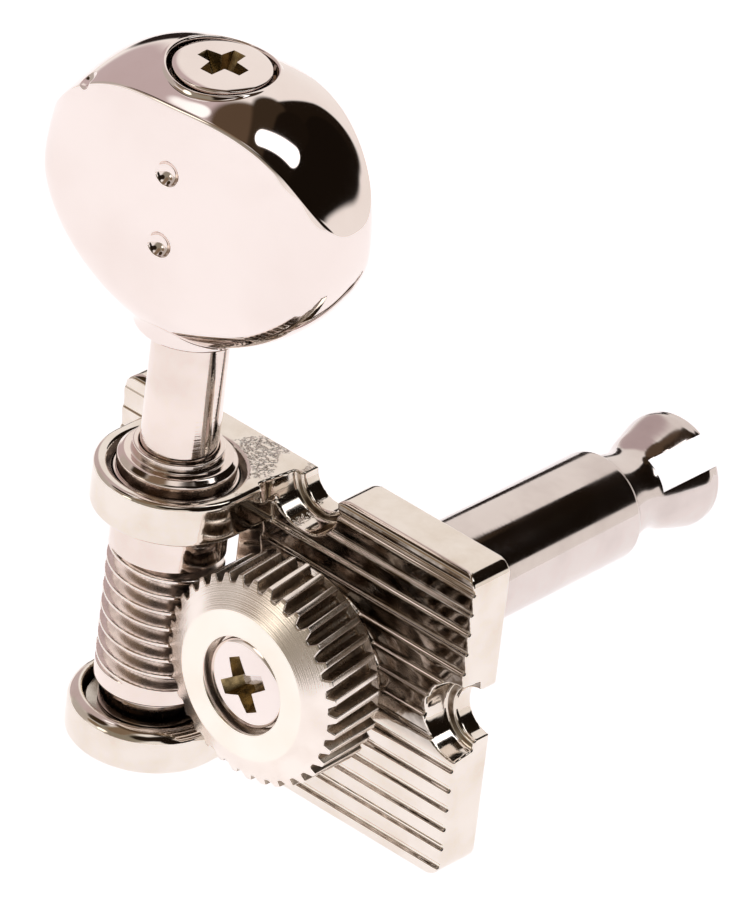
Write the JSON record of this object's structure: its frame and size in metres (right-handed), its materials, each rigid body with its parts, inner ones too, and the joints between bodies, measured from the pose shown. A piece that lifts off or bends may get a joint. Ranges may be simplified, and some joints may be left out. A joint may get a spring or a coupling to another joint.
{
  "type": "guitar tuning machine",
  "caption": "Open-gear guitar tuner: a button turns a worm held in two lugs of a ridged base plate, and the worm turns a toothed wheel on the slotted string post.",
  "frame": {"origin": "on the plate's back face, where the string post's axis crosses it", "axes": "+Z along the worm's axis towards the button, +Y along the string post away from the gear, +X along the plate's ridges away from the worm"},
  "size_m": [0.0285, 0.037, 0.0432],
  "materials": {
    "nickel": "bright nickel plate, polished",
    "cast_nickel": "bright nickel plate over a die casting",
    "cut_nickel": "bright nickel plate over turned and cut metal",
    "washer_steel": "plated flat washer"
  },
  "bodies": {
    "base": {"base_casting": "cast_nickel", "upper_bearing_bush": "nickel", "worm_thrust_washer": "washer_steel", "gear_washer": "washer_steel"},
    "worm": {"worm_shaft": "cut_nickel", "button": "nickel", "button_washer": "washer_steel", "button_screw": "nickel"},
    "post": {"string_post": "nickel", "worm_gear": "cut_nickel", "gear_screw": "nickel"}
  },
  "joints": [
    {"name": "worm_spin", "type": "hinge", "parent": "base", "child": "worm", "pos_m": [-0.00862, -0.0058, 0], "axis": [0, 0, 1], "continuous": true},
    {"name": "post_spin", "type": "hinge", "parent": "base", "child": "post", "pos_m": [0, 0, 0], "axis": [0, 1, 0], "continuous": true}
  ],
  "couplings": [
    {"joint": "post_spin", "follows": "worm_spin", "ratio": 0.055556}
  ]
}
